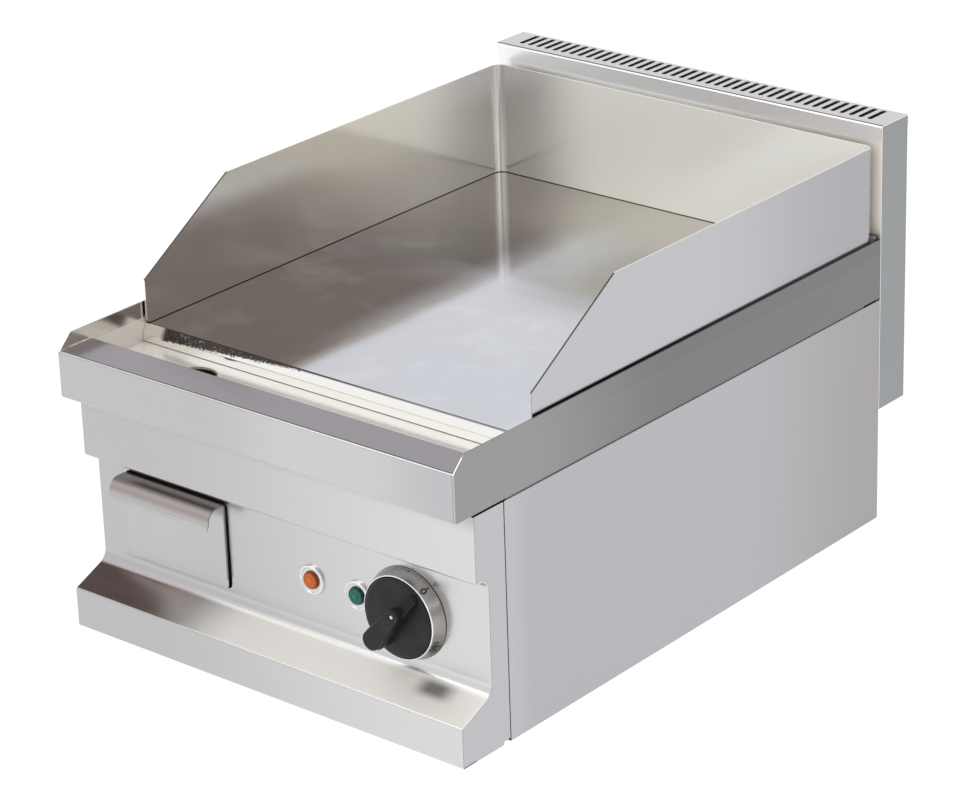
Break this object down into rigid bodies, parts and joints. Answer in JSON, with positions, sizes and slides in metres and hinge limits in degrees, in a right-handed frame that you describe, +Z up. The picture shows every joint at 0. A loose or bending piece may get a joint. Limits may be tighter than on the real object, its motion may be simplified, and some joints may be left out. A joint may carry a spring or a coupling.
{
  "type": "flat top griddle",
  "caption": "Counter-top electric griddle with thick cooking plate, splash guard, rear chimney, control knob, two lamps and pull-out grease drawer.",
  "frame": {"origin": "on the counter under the middle of the griddle's footprint, halfway between base lip and chimney back", "axes": "+X to the right seen from the front, +Y from the base lip towards the chimney, +Z up"},
  "size_m": [0.4, 0.58, 0.3573],
  "materials": {
    "brushed_front": "semi-bright polished sheet, mirror-like soft reflections",
    "brushed_side": "fine satin sheet",
    "brushed_guard": "fine satin sheet",
    "brushed_chimney": "fine satin sheet",
    "brushed_drawer": "semi-bright polished sheet",
    "polished_worktop": "semi-bright polished sheet with ground weld seams",
    "ground_plate": "ground and polished cooking surface",
    "satin_steel": "satin",
    "satin_dial": "spun satin with black numbers",
    "zinc_sheet": "zinc-plated sheet",
    "zinc_fastener": "zinc-plated",
    "element_sheath": "heat-darkened sheath",
    "ceramic_blanket": "felted fibre",
    "ceramic_plastic": "moulded, matt",
    "copper_tube": "drawn copper",
    "red_plastic": "moulded",
    "black_knob": "moulded, satin",
    "orange_lens": "moulded translucent with ring",
    "green_lens": "moulded translucent with ring",
    "lamp_bezel": "bright",
    "lamp_housing": "moulded",
    "black_nylon": "moulded",
    "lead_insulation": "silicone insulation",
    "brass": "turned",
    "foot_rubber": "moulded"
  },
  "bodies": {
    "casing": {"front_panel": "brushed_front", "left_cheek": "brushed_front", "right_cheek": "brushed_front", "left_side_panel": "brushed_side", "right_side_panel": "brushed_side", "rear_panel": "zinc_sheet", "base_pan": "zinc_sheet", "left_support_rail": "zinc_sheet", "right_support_rail": "zinc_sheet", "worktop": "polished_worktop", "griddle_plate": "ground_plate", "splash_guard": "brushed_guard", "guard_studs": "zinc_fastener", "guard_stud_nuts": "zinc_fastener", "chimney_shell": "brushed_chimney", "chimney_back": "brushed_chimney", "chimney_left_end": "brushed_chimney", "chimney_right_end": "brushed_chimney", "drain_spout": "satin_steel", "heating_element_left": "element_sheath", "heating_element_middle": "element_sheath", "heating_element_right": "element_sheath", "element_clamp_bars": "zinc_sheet", "plate_studs": "zinc_fastener", "clamp_nuts": "zinc_fastener", "insulation_blanket": "ceramic_blanket", "heat_shield": "zinc_sheet", "thermostat_body": "ceramic_plastic", "thermostat_bulb": "copper_tube", "thermostat_screws": "zinc_fastener", "safety_thermostat": "ceramic_plastic", "safety_bulb": "copper_tube", "reset_nut": "zinc_fastener", "dial_ring": "satin_dial", "orange_lamp_lens": "orange_lens", "orange_lamp_bezel": "lamp_bezel", "orange_lamp_body": "lamp_housing", "orange_lamp_nut": "black_nylon", "green_lamp_lens": "green_lens", "green_lamp_bezel": "lamp_bezel", "green_lamp_body": "lamp_housing", "green_lamp_nut": "black_nylon", "drawer_runners": "zinc_sheet", "terminal_block": "ceramic_plastic", "supply_leads": "lead_insulation", "control_leads": "lead_insulation", "cable_gland": "black_nylon", "gland_cap": "black_nylon", "gland_locknut": "black_nylon", "bonding_stud": "brass", "bonding_nut": "brass", "rubber_feet": "foot_rubber", "foot_screws": "zinc_fastener", "casing_screws": "zinc_fastener"},
    "knob_assembly": {"knob": "black_knob", "knob_screw": "zinc_fastener", "thermostat_shaft": "zinc_fastener"},
    "drawer": {"drawer_front": "brushed_drawer", "drawer_tray": "satin_steel"},
    "reset_push": {"reset_button": "red_plastic"}
  },
  "joints": [
    {"name": "knob_turn", "type": "hinge", "parent": "casing", "child": "knob_assembly", "pos_m": [0.1216, -0.255, 0.104], "axis": [0, 1, 0], "range_deg": [0, 270]},
    {"name": "drawer_slide", "type": "slide", "parent": "casing", "child": "drawer", "axis": [0, -1, 0], "range_m": [0, 0.22]},
    {"name": "reset_press", "type": "slide", "parent": "casing", "child": "reset_push", "axis": [0, -1, 0], "range_m": [0, 0.002], "stiffness_N_per_m": 400}
  ]
}
